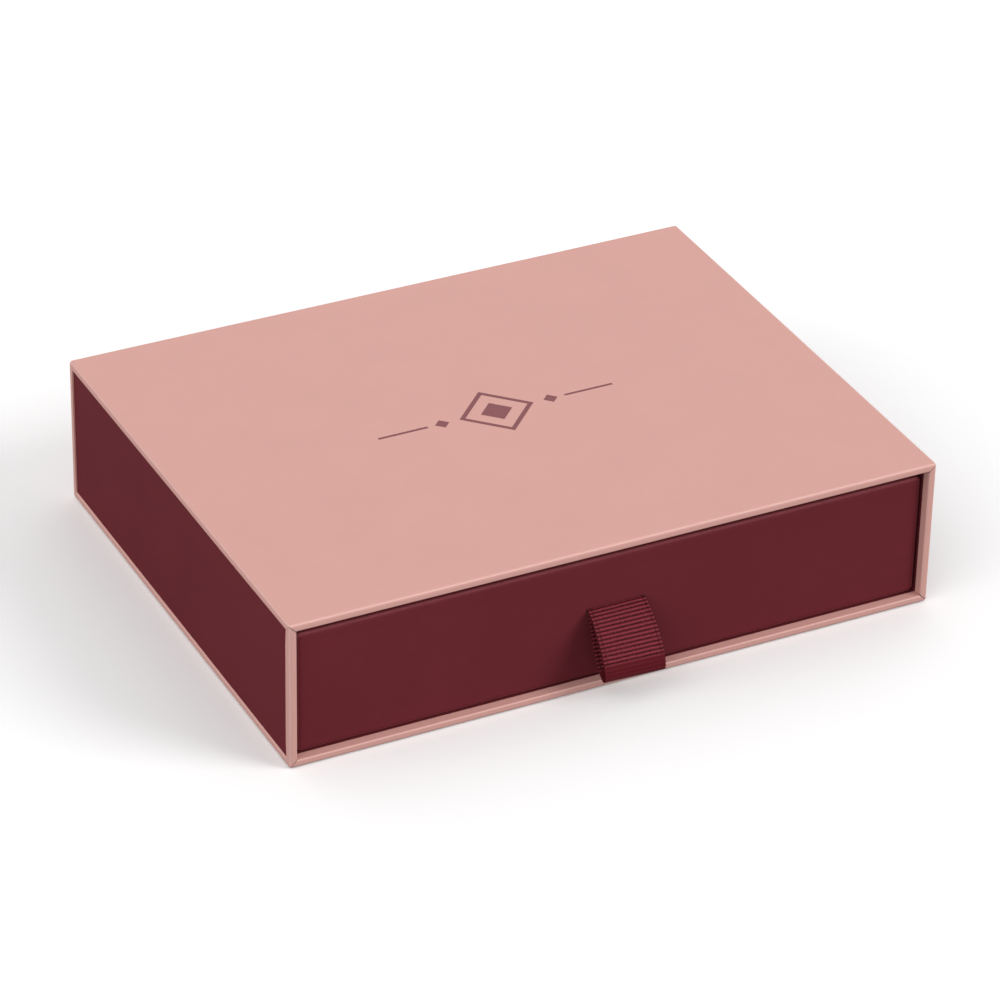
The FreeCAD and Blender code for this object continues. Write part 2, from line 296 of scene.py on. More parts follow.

# %% [markdown]
# ## Effects that the papers share
#
# The papers are printed and laminated art paper. Up close such a sheet is never one flat
# colour: it has faint clouds from the pulp, short fibres, and a fine grain. Where it is
# folded hard round a board, the print thins and the fold turns paler. That paler fold is
# worn print and also a painted highlight, laid on every rounded edge.
# Each effect is a group with its own inputs, so that each paper can use it at its own
# strength. The fold mask needs no painting: on a box only the rounded edges have a slanted
# normal.

# %% Shader group: where a sheet is folded
tree, came, went = new_group(
    "fold_mask",
    "ShaderNodeTree",
    {"Start": 0.05, "Full": 0.26, "Unevenness": 0.5},
    {"Mask": FLOAT},
)
place = tree.nodes.new("ShaderNodeTexCoord").outputs
slant = parts_of(vector("ABSOLUTE", {0: place["Normal"]}))
straight = most(most(slant[0], slant[1]), slant[2])
folded = eased(minus(1.0, straight), came["Start"], came["Full"])
patchy = soft_noise(place["Object"], 260.0, 2.0)
loss = times(came["Unevenness"], patchy)
give(went, {"Mask": times(folded, minus(1.0, loss))})
fold_mask = tree

# %% Shader group: printed paper
look_outputs = {"Colour": COLOUR, "Roughness": FLOAT, "Height": FLOAT}
tree, came, went = new_group(
    "printed_paper",
    "ShaderNodeTree",
    {
        "Colour": white,
        "Rubbed Colour": white,
        "Rub": 0.5,
        "Clouds": 0.03,
        "Fibres": 0.02,
        "Gloss": 0.5,
    },
    look_outputs,
)
place = tree.nodes.new("ShaderNodeTexCoord").outputs


def speckle(scale, detail, stretch=(1, 1, 1)):
    """Noise round 0, mostly from -1 to 1, on the piece's own coordinates."""
    inputs = {"Vector": place["Object"], "Scale": stretch}
    spread = output("ShaderNodeMapping", inputs)
    value = soft_noise(spread, scale, detail, roughness=0.6)
    return times(minus(value, 0.5), 3.0)


fibre_from = 0.55  # weaker noise than this shows no fibre
clouds = speckle(38.0, 3.0)
mottle = speckle(420.0, 2.0)
fibre = speckle(1500.0, 1.0, stretch=(0.35, 1.6, 1.6))
grain = speckle(5200.0, 1.0)
lone_fibre = most(minus(absolute(fibre), fibre_from), 0.0)
lone_fibre = times(lone_fibre, sign(fibre))
tone = times(clouds, came["Clouds"])
tone = times_plus(mottle, times(came["Clouds"], 0.45), tone)
tone = times_plus(lone_fibre, came["Fibres"], tone)
toned = vector("SCALE", {0: came["Colour"], "Scale": plus(tone, 1.0)})
mask = node("ShaderNodeGroup", tree=tree, node_tree=fold_mask).outputs["Mask"]
# Along the folds the colour goes over to the paler one: worn print and a painted highlight.
worn_and_lit = mix(times(mask, came["Rub"]), toned, came["Rubbed Colour"])
dull = times_plus(mask, 0.06, times_plus(mottle, 0.03, came["Gloss"]))
relief = times_plus(grain, 0.35, times(mottle, 0.5))
relief = times_plus(lone_fibre, 0.8, relief)
give(went, {"Colour": worn_and_lit, "Roughness": dull, "Height": relief})
printed_paper = tree
print("shader groups:", [group.name for group in bpy.data.node_groups])


# %% [markdown]
# ## Paper, foil, board and tape
#
# Blush paper covers the sleeve and wine paper the drawer and the sleeve's side panels. Both
# have a soft-touch film, which is nearly matte. The stamp is a wine-red foil, smoother than
# the paper round it. The boards hardly show, but a crease or a slit lets a little grey
# through, so they get a speckled recycled grey.


# %% Materials for paper and foil
plain_paints = {paint.name: paint for paint in bpy.data.materials if paint.users}
for name, paint in plain_paints.items():
    paint.name = f"plain_{name}"


def new_material(name, group, grain, specular=0.5, sheen=0.0, **looks):
    """A material by a shader group. Its relief is grain metres high, its colours sRGB."""
    made = bpy.data.materials.new(name)
    made.use_nodes = True
    tree = made.node_tree
    values = {
        item.name: srgb(*value) if item.socket_type == COLOUR else value
        for item, value in named_inputs(group, looks)
    }
    look = node("ShaderNodeGroup", values, tree, node_tree=group).outputs
    relief = {"Height": look["Height"], "Distance": grain, "Strength": 1.0}
    raised = output("ShaderNodeBump", relief)
    shader = tree.nodes["Principled BSDF"].inputs
    links = {"Base Color": look["Colour"], "Roughness": look["Roughness"], "Normal": raised}
    give(shader, links)
    shader["Specular IOR Level"].default_value = specular
    if sheen:
        shader["Sheen Weight"].default_value = sheen
        shader["Sheen Roughness"].default_value = 0.4
    return made


# The paler fold colour of each paper is part wear, part painted highlight on the rounded edges.
blush_paper = new_material(
    "blush_paper",
    printed_paper,
    grain=0.000012,
    specular=0.12,
    colour=(218, 166, 157),
    rubbed_colour=(240, 200, 192),
    rub=0.70,
    clouds=0.022,
    fibres=0.06,
    gloss=0.55,
)
# On the wine paper the fold colour is strong and is mostly a painted highlight on the rounded
# edges.
wine_paper = new_material(
    "wine_paper",
    printed_paper,
    grain=0.000010,
    specular=0.01,
    colour=(109, 44, 51),
    rubbed_colour=(152, 84, 90),
    rub=0.95,
    clouds=0.06,
    fibres=0.10,
    gloss=0.55,
)
wine_foil = new_material(
    "wine_foil",
    printed_paper,
    grain=0.000006,
    colour=(118, 34, 44),
    rubbed_colour=(150, 60, 70),
    rub=0.25,
    clouds=0.05,
    fibres=0.02,
    gloss=0.34,
)

# %% Materials for board and tape
tree, came, went = new_group(
    "pressed_fibre",
    "ShaderNodeTree",
    {"Pale": white, "Dark": black, "Specks": 0.5, "Size": 900.0},
    look_outputs,
)
place = tree.nodes.new("ShaderNodeTexCoord").outputs["Object"]
speck_size = 0.22  # as a share of the cells of the pattern
pulp = soft_noise(place, came["Size"], 4.0)
inputs = {"Vector": place, "Scale": times(came["Size"], 1.4)}
flake = node("ShaderNodeTexVoronoi", inputs).outputs["Distance"]
speck = sum_of("LESS_THAN")(flake, speck_size)
share = times_plus(speck, came["Specks"], times(pulp, 0.8))
mixed = mix(share, came["Pale"], came["Dark"])
give(went, {"Colour": mixed, "Roughness": times_plus(pulp, 0.2, 0.75), "Height": pulp})
pressed_fibre = tree

new_material(
    "greyboard",
    pressed_fibre,
    grain=0.00003,
    pale=(150, 142, 132),
    dark=(96, 90, 84),
    specks=0.35,
    size=900.0,
)
new_material(
    "gummed_tape",
    pressed_fibre,
    grain=0.00003,
    pale=(206, 176, 132),
    dark=(160, 128, 88),
    specks=0.2,
    size=600.0,
)
print("materials:", [material.name for material in bpy.data.materials])

# %% [markdown]
# ## Cutting a box into sheets of paper
#
# A bookbinder sees the box as flat sheets that turn round edges. The same idea makes clean
# meshes. First the sharp form, boards and hollows, is laid out as filled cells of a
# lattice. The faces between filled and empty cells are its skin, in tidy quads. Each face
# is then given to the sheet that covers it. Last, a sheet's points are pulled onto the
# rounded edges, and the sheet gets its thickness inwards. Lattice lines stand close
# together where an edge will be round, so no face is wasted on the flats.


# %% Lattice helpers
MM = 0.001  # the script thinks in millimetres, and Blender in metres
hair = 0.01  # less than any real distance on the box


def cad(name):
    """Lowest and highest corner of a solid that was loaded, in millimetres."""
    low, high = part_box(name)
    return np.array(low) / MM, np.array(high) / MM


def edge_steps(radius):
    """Distances from a sharp edge that become even steps round its quarter-round."""
    return [radius * (1 - math.tan(math.radians(angle))) for angle in (45, 34, 23, 12, 0)]


def both_ends(low, high, steps):
    """The places that lie these steps in from either end."""
    return [low + step for step in steps] + [high - step for step in steps]


def lattice(marks, spacing=5.5):
    """All the marks in order, with even steps between them where they are far apart."""
    stops = sorted({round(float(mark), 4) for mark in marks})
    lines = [stops[0]]
    for stop in stops[1:]:
        count = math.ceil((stop - lines[-1]) / spacing)
        lines += np.linspace(lines[-1], stop, count + 1)[1:].tolist()
    return np.array(lines)


def skin(lines, filled):
    """The outward faces of the filled cells, each as (corners, axis)."""
    middles = [(line[1:] + line[:-1]) / 2 for line in lines]
    cells = filled(*np.meshgrid(*middles, indexing="ij")).astype(int)
    faces = []
    for axis in range(3):
        step = np.diff(cells, axis=axis, prepend=0, append=0)
        for cell in np.argwhere(step):
            side = -int(step[tuple(cell)])
            corners = []
            for first, second in ((0, 0), (1, 0), (1, 1), (0, 1)):
                at = cell.copy()
                at[(axis + 1) % 3] += first
                at[(axis + 2) % 3] += second
                corners.append(tuple(float(lines[i][at[i]]) for i in range(3)))
            faces.append((corners[::side], axis))
    return faces


# %% [markdown]
# Rounding a sharp form can be one rule. Take the box that is smaller by the radius. A point
# outside it is moved along the line to its nearest point of that smaller box, so that the
# cube's shells become shells of a sphere. It leaves the flats alone, rounds the edges, makes
# ball corners, and keeps a sheet's thickness. The same rule in two directions rounds the
# lip where paper turns into an opening.


# %% Rounding helpers
def rounded_pair(a, b, radius):
    """Two distances from the faces that meet in an edge, moved onto its round."""
    near_a, near_b = max(a, radius), max(b, radius)
    out_a, out_b = a - near_a, b - near_b
    length = math.hypot(out_a, out_b)
    if length == 0:
        return a, b
    scale = max(abs(out_a), abs(out_b)) / length
    return near_a + out_a * scale, near_b + out_b * scale


def round_box(point, low, high, radius):
    """A point of the sharp box on the box with rounded edges."""
    inner = np.clip(point, low + radius, high - radius)
    out = point - inner
    length = np.linalg.norm(out)
    return point if length == 0 else inner + out * (np.abs(out).max() / length)


def round_lip(point, opening):
    """A point near an opening, on the round lip between the outside and the hollow."""
    axis, side, face, spans, radius = opening
    depth = (face - point[axis]) * side
    away = {i: max(point[i] - high, low - point[i]) for i, (low, high) in spans.items()}
    reach = max(away.values())
    if reach < -1e-6 or depth < -1e-6:
        return point
    moved = np.array(point)
    moved[axis] = face - side * rounded_pair(reach, depth, radius)[1]
    for i, (low, high) in spans.items():
        if away[i] > -1e-6:
            out = rounded_pair(max(away[i], 0.0), depth, radius)[0]
            moved[i] = high + out if point[i] > (low + high) / 2 else low - out
    return moved


# %% Sheet helpers
sharp_from = math.radians(40)  # a cut edge is a sharper turn than this


def put(name, mesh, material):
    """A new object with this mesh and material, in the scene."""
    made = bpy.data.objects.new(name, mesh)
    mesh.materials.clear()
    mesh.materials.append(material)
    scene.collection.objects.link(made)
    return made


def finished_mesh(thing):
    """What an object's modifiers make of it, as a plain mesh."""
    bpy.context.view_layer.update()
    graph = bpy.context.evaluated_depsgraph_get()
    return bpy.data.meshes.new_from_object(
        thing.evaluated_get(graph), preserve_all_data_layers=True, depsgraph=graph
    )


def apply_modifiers(thing):
    """Keep what the modifiers make, and take them off."""
    mesh = finished_mesh(thing)
    thing.modifiers.clear()
    thing.data = mesh
    return thing


def as_it_is(point):
    return point


def shell(name, polygons, soften=as_it_is):
    """A mesh of these polygons, which share the corners they have in common."""
    places, points, faces = {}, [], []
    for corners in polygons:
        face = []
        for corner in corners:
            key = tuple(round(value, 3) for value in corner)
            if key not in places:
                places[key] = len(points)
                points.append(soften(np.array(corner)) * MM)
            face.append(places[key])
        faces.append(face)
    mesh = bpy.data.meshes.new(name)
    mesh.from_pydata(points, [], faces)
    mesh.update()
    return mesh


def smooth(thing):
    """Soft shading over folds, sharp at cut edges, flat on the flats."""
    thing.data.shade_smooth()
    thing.data.set_sharp_from_angle(angle=sharp_from)
    weigh = thing.modifiers.new("flats", "WEIGHTED_NORMAL")
    weigh.keep_sharp = True
    return apply_modifiers(thing)


def sheet(name, polygons, material, soften=as_it_is, wobble=0.0, wobble_size=34.0):
    """A sheet of paper over these polygons, softened, a little uneven, and thick."""
    mesh = shell(name, polygons, soften)
    if wobble:
        normals = [normal.vector.copy() for normal in mesh.vertex_normals]
        for vertex, normal in zip(mesh.vertices, normals):
            swell = noise.noise(vertex.co / (wobble_size * MM))
            vertex.co += normal * (wobble * MM * swell)
    made = put(name, mesh, material)
    pulp = made.modifiers.new("paper", "SOLIDIFY")
    pulp.thickness = paper_thick * MM
    pulp.offset = -1
    return smooth(apply_modifiers(made))


def dress(thing, body, slot, *nodes):
    """Fix a finished piece to its body, in the place of the solids it stands for."""
    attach(thing, body)
    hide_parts(*nodes)
    print(f"{thing.name}: {len(thing.data.polygons)} faces, replaces {nodes}")


# %% [markdown]
# ## The sleeve's form
#
# The sleeve is a block with a hollow from the front and a shallow recess on each side,
# where the side panel sits behind a narrow rim. Its sizes come from the loaded solids, and
# only what they don't say, the radii and the turned margin, is given here.

# %% The sleeve's form
sleeve_low, sleeve_high = cad("sleeve_wrap")
panel_low = cad("side_cover_left")[0]
paper_thick = 0.2
sleeve_radius, lip_radius = 1.1, 0.55
turn_in = 12.0  # the wrap's margin on the underside
mouth_fold = cad("sleeve_liner")[0][1] - sleeve_low[1]  # what shows of it in the mouth
wall = panel_low[2] - sleeve_low[2]  # thickness of the sleeve's wall
recess = panel_low[0] - sleeve_low[0]  # how far the side panels lie behind the rims
mid_rim = 1.85  # one more line between the rim's two rounded edges

mouth_low, mouth_high = sleeve_low + wall, sleeve_high - wall
lip_steps = edge_steps(lip_radius)
near_edge = edge_steps(sleeve_radius) + lip_steps + [0.0, recess, mid_rim]
near_edge += [wall - step for step in lip_steps]
sleeve_lines = []
for axis in range(3):
    steps = near_edge if axis == 2 else [*near_edge, turn_in]
    marks = both_ends(sleeve_low[axis], sleeve_high[axis], steps)
    if axis == 1:
        marks += [sleeve_low[1] + mouth_fold]
    sleeve_lines.append(lattice(marks))


def sleeve_filled(x, y, z):
    """The sleeve without its hollow and its side recesses."""
    within = (z > mouth_low[2]) & (z < mouth_high[2])
    hollow = within & (abs(x) < mouth_high[0]) & (y < mouth_high[1])
    panels = within & (abs(x) > sleeve_high[0] - recess)
    panels &= (y > mouth_low[1]) & (y < mouth_high[1])
    return ~(hollow | panels)


# An opening is the axis and side it faces, its face, its spans and its lip's radius.
wide, deep, tall = zip(mouth_low, mouth_high)
openings = [(1, -1, sleeve_low[1], {0: wide, 2: tall}, lip_radius)]
for side, face in ((-1, sleeve_low[0]), (1, sleeve_high[0])):
    openings.append((0, side, face, {1: deep, 2: tall}, lip_radius))


def soften_sleeve(point):
    for opening in openings:
        point = round_lip(point, opening)
    return round_box(point, sleeve_low, sleeve_high, sleeve_radius)


sleeve_faces = skin(sleeve_lines, sleeve_filled)
print("sleeve skin:", len(sleeve_faces), "faces")

# %% [markdown]
# ## The sleeve's sheets
#
# The large blush sheet goes over the top, down the back and round the rims, and turns into
# the mouth. The two posts beside the mouth are covered on their own, and their strips meet
# the large sheet in mitres at 45 degrees, where a fine crease shows. A face that a mitre
# crosses is cut in two along its diagonal, so each sheet gets its half.


# %% Which sheet covers which face
def mitre_distances(corner, axis):
    """Distances from the outer edge beside the post and from the top or base edge."""
    x, y, z = corner
    beside = sleeve_high[0] - abs(x) if axis == 1 else y - sleeve_low[1]
    return beside, min(sleeve_high[2] - z, z - sleeve_low[2])


def on_post_front(middle, axis):
    """Whether a face lies on the outside of a front post or in its corner blocks."""
    front = axis == 1 and middle[1] < sleeve_low[1] + hair
    flank = axis == 0 and abs(middle[0]) > sleeve_high[0] - hair
    return (front or flank) and mitre_distances(middle, axis)[0] < wall


def cut_at_mitre(corners, axis):
    """The face, or its two halves where a mitre runs through it."""
    even = [abs(a - b) < 1e-4 for a, b in (mitre_distances(c, axis) for c in corners)]
    for start in (0, 1):
        if even[start] and even[start + 2]:
            ring = corners[start:] + corners[:start]
            return [ring[:3], [ring[2], ring[3], ring[0]]]
    return [corners]


def sheet_of_sleeve(middle, axis):
    """The name of the sheet that covers a face, or None under the base sheet."""
    x, y, z = middle
    side = "left" if x < 0 else "right"
    in_mouth = y < sleeve_low[1] + mouth_fold
    if on_post_front(middle, axis):
        beside, over = mitre_distances(middle, axis)
        return f"post_{side}" if beside < over else "wrap"
    if axis == 0 and abs(x) < mouth_high[0] + hair:
        return f"post_{side}" if in_mouth else "lining"
    if axis == 0 and abs(x) < sleeve_high[0] - hair:
        return f"panel_{side}"
    if axis == 1 and sleeve_low[1] + hair < y < mouth_low[1] + hair:
        return f"post_{side}"
    between_walls = mouth_low[2] - hair < z < mouth_high[2] + hair
    ahead_of_back = axis == 2 or y < mouth_high[1] + hair
    if axis != 0 and abs(x) < mouth_high[0] and between_walls and ahead_of_back:
        return "wrap" if in_mouth else "lining"
    if z < sleeve_low[2] + hair:
        to_edge = min(sleeve_high[0] - abs(x), sleeve_high[1] - abs(y))
        return "wrap" if to_edge < turn_in else None
    return "wrap"


sleeve_sheets = {}
for corners, axis in sleeve_faces:
    middle = np.mean(corners, axis=0)
    pieces = cut_at_mitre(corners, axis) if on_post_front(middle, axis) else [corners]
    for piece in pieces:
        name = sheet_of_sleeve(np.mean(piece, axis=0), axis)
        sleeve_sheets.setdefault(name, []).append(piece)
print({name: len(faces) for name, faces in sleeve_sheets.items()})

# %% [markdown]
# ## The stamp on the top
#
# A hot-foil stamp is pressed, so it lies a hair below the paper, in a pocket with slightly
# sloping sides. The pocket's outlines are drawn on the top sheet and the patch round them is
# filled with triangles by Blender's Delaunay tool, which keeps every outline as an edge. The
# pattern is a plain one: a framed lozenge with a small lozenge and a rule on each side.

# %% Outlines of the stamp
foil_low, foil_high = cad("foil_ornament")
frame_half, frame_stroke, core_half = 13.0, 1.5, 5.5
small_half, small_at = 2.5, 19.0
rule_from, rule_to, rule_half = 24.0, 41.0, 0.55
pocket_slope = 0.06  # how far the pocket's sides run out
under_foil = 0.003  # what the pocket's floor lies under the foil
frame_hole = frame_half - math.sqrt(2) * frame_stroke


def diamond(x, half):
    return [(x - half, 0), (x, -half), (x + half, 0), (x, half)]


def bar(start, end, half):
    return [(start, -half), (end, -half), (end, half), (start, half)]


def outlines(grow):
    """The stamp's outlines, wider by this much: solid ones, then the frame's hole."""
    slanted = grow * math.sqrt(2)
    shapes = [diamond(0, frame_half + slanted), diamond(0, core_half + slanted)]
    for side in (-1, 1):
        shapes.append(diamond(side * small_at, small_half + slanted))
        ends = sorted((side * (rule_from - grow), side * (rule_to + grow)))
        shapes.append(bar(*ends, rule_half + grow))
    return shapes, diamond(0, frame_hole - slanted)


def inside(x, y, shape, margin=-1e-4):
    """Whether a place is this far inside a convex outline that runs anticlockwise."""
    for (ax, ay), (bx, by) in zip(shape, shape[1:] + shape[:1]):
        length = math.hypot(bx - ax, by - ay)
        if ((bx - ax) * (y - ay) - (by - ay) * (x - ax)) / length < margin:
            return False
    return True


def pressed_in(x, y):
    """Whether a place is on the pocket's floor."""
    (frame_shape, *others), hole = outlines(0.0)
    framed = inside(x, y, frame_shape) and not inside(x, y, hole, margin=1e-4)
    return framed or any(inside(x, y, shape) for shape in others)


# %% The top sheet's patch with the pocket in it
beyond_rules, beyond_frame = 7, 6  # how far the patch reaches past the stamp
patch_x = max(v for v in sleeve_lines[0] if v < rule_to + beyond_rules)
patch_y = max(v for v in sleeve_lines[1] if v < frame_half + beyond_frame)


def in_patch(corners):
    """Whether a face of the wrap lies in the patch that the stamp is pressed in."""
    across, along, *_ = abs(np.mean(corners, axis=0))
    on_top = min(corner[2] for corner in corners) > sleeve_high[2] - hair
    return on_top and across < patch_x and along < patch_y


def stamped_patch():
    """Triangles that fill the patch and keep every outline of the pocket as edges."""
    rim_shapes, rim_hole = outlines(pocket_slope)
    floor_shapes, floor_hole = outlines(0.0)
    places, edges = [], []
    for shape in [*rim_shapes, rim_hole, *floor_shapes, floor_hole]:
        first = len(places)
        places += shape
        edges += [(first + i, first + (i + 1) % len(shape)) for i in range(len(shape))]
    xs = [float(x) for x in sleeve_lines[0] if abs(x) <= patch_x + 1e-6]
    ys = [float(y) for y in sleeve_lines[1] if abs(y) <= patch_y + 1e-6]
    places += [(x, y) for x in xs for y in ys]
    vectors = [Vector(place) for place in places]
    points, _, faces, *_ = delaunay_2d_cdt(vectors, edges, [], 0, 1e-5)
    levels = [sleeve_high[2], foil_low[2] - under_foil]
    spots = [(p.x, p.y, float(levels[pressed_in(p.x, p.y)])) for p in points]
    return [[spots[i] for i in face] for face in faces]


patch = stamped_patch()
sleeve_sheets["wrap"] = [c for c in sleeve_sheets["wrap"] if not in_patch(c)] + patch
print("stamped patch:", len(patch), "faces")

# %% [markdown]
# Now the sheets can be made. A hand-wrapped board is never dead flat, so the large sheets
# swell and sink by a few hundredths of a millimetre. That is enough to break up long edges
# and reflections.

# %% Sleeve sheets
mitre_gap, squeezed, fades_by = 0.5, 1.6, 1.4


def soften_post(point):
    """A post's strip ends a little short of its mitres, and its last part is squeezed.

    On the flank the sheet above laps over the strip's end, so the gap fades to nothing.
    """
    behind_front = point[1] - sleeve_low[1]
    inwards = max(sleeve_high[0] - abs(point[0]), behind_front)
    gap = mitre_gap * max(0.0, 1 - behind_front / fades_by)
    for end, way in ((sleeve_high[2], -1), (sleeve_low[2], 1)):
        below = (point[2] - end) * way - min(inwards, wall)
        if below < squeezed:
            point[2] += way * gap * (1 - below / squeezed)
    return soften_sleeve(point)


def sleeve_sheet(name, part, node_name, material, *shaping, **wobbling):
    made = sheet(name, sleeve_sheets[part], material, *shaping, **wobbling)
    dress(made, "sleeve", material.name, node_name)


sleeve_sheet("sleeve_blush_wrap", "wrap", "sleeve_wrap", blush_paper, soften_sleeve, wobble=0.05)
for side in ("left", "right"):
    sleeve_sheet(
        f"post_blush_strip_{side}",
        f"post_{side}",
        f"post_wrap_{side}",
        blush_paper,
        soften_post,
        wobble=0.05,
    )
    sleeve_sheet(
        f"side_wine_panel_{side}",
        f"panel_{side}",
        f"side_cover_{side}",
        wine_paper,
        wobble=0.04,
        wobble_size=26.0,
    )
sleeve_sheet("sleeve_wine_lining", "lining", "sleeve_liner", wine_paper)


# %% [markdown]
# ## The underside
#
# A flat sheet is glued under the sleeve, short of the edges, so that it covers the turned
# edges of the wrap. It is a plain sheet, made on a lattice like the others, so that the
# same helper can make the drawer's floor paper, which is a little uneven.


# %% Flat sheets
def flat_sheet(name, low, high, top, material, swell=0.0):
    """A level sheet whose upper face is at this height, a little uneven if asked."""
    margin, step, bump_size, calm_edge = 0.4, 6.0, 31.0, 8.0
    xs, ys = (lattice(both_ends(low[i], high[i], (0, margin)), step) for i in (0, 1))
    cells = [
        [(a, c, top), (b, c, top), (b, d, top), (a, d, top)]
        for a, b in zip(xs, xs[1:])
        for c, d in zip(ys, ys[1:])
    ]

    def settle(point):
        lift = swell * (0.5 + noise.noise(Vector(point) / bump_size))
        edge = min(*(point - low)[:2], *(high - point)[:2])
        return point + np.array([0, 0, lift * min(edge / calm_edge, 1.0)])

    return sheet(name, cells, material, settle)


base_low, base_high = cad("sleeve_base_sheet")
base_sheet = flat_sheet("sleeve_blush_base", base_low, base_high, sleeve_low[2], blush_paper)
dress(base_sheet, "sleeve", "blush_paper", "sleeve_base_sheet")

# %% [markdown]
# ## The foil stamp
#
# The stamp's shapes follow a rule: lozenges and rules from a few lengths, with a mirror
# image on the other side. That suits Geometry Nodes. Each shape is a closed curve that is
# filled and pushed up by the foil's thickness, and the ones at the sides are copied to two
# points. The lengths are inputs, so that another stamp is a matter of typing.

# %% Geometry nodes: the stamp
tree, came, went = new_group(
    "foil_stamp",
    "GeometryNodeTree",
    {
        "Geometry": GEOMETRY,
        "Frame": 0.026,
        "Stroke": 0.0015,
        "Core": 0.011,
        "Small": 0.005,
        "Small Place": 0.019,
        "Rule Start": 0.024,
        "Rule End": 0.041,
        "Rule Width": 0.0011,
        "Level": 0.0509,
        "Thickness": 0.00005,
        "Foil": MATERIAL,
    },
    {"Geometry": GEOMETRY},
)


def joined_geometry(*parts):
    made = tree.nodes.new("GeometryNodeJoinGeometry")
    for part in reversed(parts):
        tree.links.new(part, made.inputs[0])
    return made.outputs[0]


def filled_curve(curve):
    return output("GeometryNodeFillCurve", {"Curve": curve})


def pair(part, place):
    """Two copies, as far to the left as to the right."""
    ends = {
        "Count": 2,
        "Start Location": vector_of(X=times(place, -1.0)),
        "Offset": vector_of(X=place),
    }
    points = output("GeometryNodeMeshLine", ends, mode="END_POINTS")
    inputs = {"Points": points, "Instance": part}
    return output("GeometryNodeInstanceOnPoints", inputs)


def diamond_curve(size):
    """A circle with only four points is a lozenge."""
    inputs = {"Resolution": 4, "Radius": times(size, 0.5)}
    return output("GeometryNodeCurvePrimitiveCircle", inputs)


def closed_mesh(shapes, distance, material):
    """The shapes as one closed mesh with this material."""
    inputs = {"Geometry": shapes, "Distance": distance}
    made = output("GeometryNodeMergeByDistance", inputs)
    made = output("GeometryNodeRealizeInstances", {0: made})
    inputs = {"Geometry": made, "Material": material}
    return output("GeometryNodeSetMaterial", inputs)


two_strokes = times(came["Stroke"], 2 * math.sqrt(2))
hole = minus(came["Frame"], two_strokes)
framed = filled_curve(joined_geometry(diamond_curve(came["Frame"]), diamond_curve(hole)))
core = filled_curve(diamond_curve(came["Core"]))
small = filled_curve(diamond_curve(came["Small"]))
bar_size = {"Width": minus(came["Rule End"], came["Rule Start"]), "Height": came["Rule Width"]}
bar_curve = output("GeometryNodeCurvePrimitiveQuadrilateral", bar_size)
bar_place = times(plus(came["Rule Start"], came["Rule End"]), 0.5)
sides = (pair(small, came["Small Place"]), pair(filled_curve(bar_curve), bar_place))
shapes = joined_geometry(framed, core, *sides)
shapes = output("GeometryNodeRealizeInstances", {0: shapes})
inputs = {"Geometry": shapes, "Translation": vector_of(Z=came["Level"])}
lifted = output("GeometryNodeTransform", inputs)
inputs = {
    "Mesh": lifted,
    "Offset": (0.0, 0.0, 1.0),
    "Offset Scale": came["Thickness"],
    "Individual": False,
}
pushed = node("GeometryNodeExtrudeMesh", inputs).outputs["Mesh"]
under = output("GeometryNodeFlipFaces", {0: lifted})
closed = closed_mesh(joined_geometry(pushed, under), 1e-6, came["Foil"])
give(went, {"Geometry": closed})
stamp_tree = tree


# %% Running a geometry tree
def grown(name, data, tree, material, **values):
    """The piece that a geometry tree makes on this data with these inputs."""
    source = bpy.data.objects.new(f"{name}_source", data)
    scene.collection.objects.link(source)
    made = source.modifiers.new(tree.name, "NODES")
    made.node_group = tree
    for item, value in named_inputs(tree, values):
        made[item.identifier] = value
    mesh = finished_mesh(source)
    bpy.data.objects.remove(source)
    return smooth(put(name, mesh, material))


stamp = grown(
    "foil_stamp",
    bpy.data.meshes.new("empty"),
    stamp_tree,
    wine_foil,
    frame=2 * frame_half * MM,
    stroke=frame_stroke * MM,
    core=2 * core_half * MM,
    small=2 * small_half * MM,
    small_place=small_at * MM,
    rule_start=rule_from * MM,
    rule_end=rule_to * MM,
    rule_width=2 * rule_half * MM,
    level=foil_low[2] * MM,
    thickness=(foil_high[2] - foil_low[2]) * MM,
    foil=wine_foil,
)
dress(stamp, "sleeve", "wine_foil", "foil_ornament")

# %% [markdown]
# ## The drawer's form
#
# The drawer is a tray of thinner board, with rounder edges than the sleeve. Its paper goes
# up the outside, over the rim and down the inside. The slit for the ribbon is cut through
# the front when the paper is already on, so its edges are pressed in a little. Behind it
# the board's own slit shows.

# %% The drawer's form
tray_low, tray_high = cad("drawer_wrap")
board_low, board_high = cad("drawer_front_board")
swing = next(joint for joint in frame["joints"] if joint["name"] == "ribbon_swing")
slit_z = swing["pos_m"][2] / MM
tray_radius, slit_radius = 2.0, 0.18
crown, crown_reach = 0.12, 5.0  # the front falls back a little towards its edges
slit_play = 0.15  # beside the ribbon
slit_half = (cad("ribbon_loop")[1][0] + slit_play, 0.85)  # across and up from its middle
slit_spans = {0: (-slit_half[0], slit_half[0]), 2: (slit_z - slit_half[1], slit_z + slit_half[1])}
cut_fold = 0.7  # how far the paper is pressed into the cut of the slit
near_front, on_front = 1.0, 0.5  # what counts as near the front's face, and as on it
tray_wall = board_high[1] - board_low[1] + 2 * paper_thick
tray_in_low, tray_in_high = tray_low + tray_wall, tray_high - tray_wall
tray_floor = cad("drawer_floor_paper")[1][2]

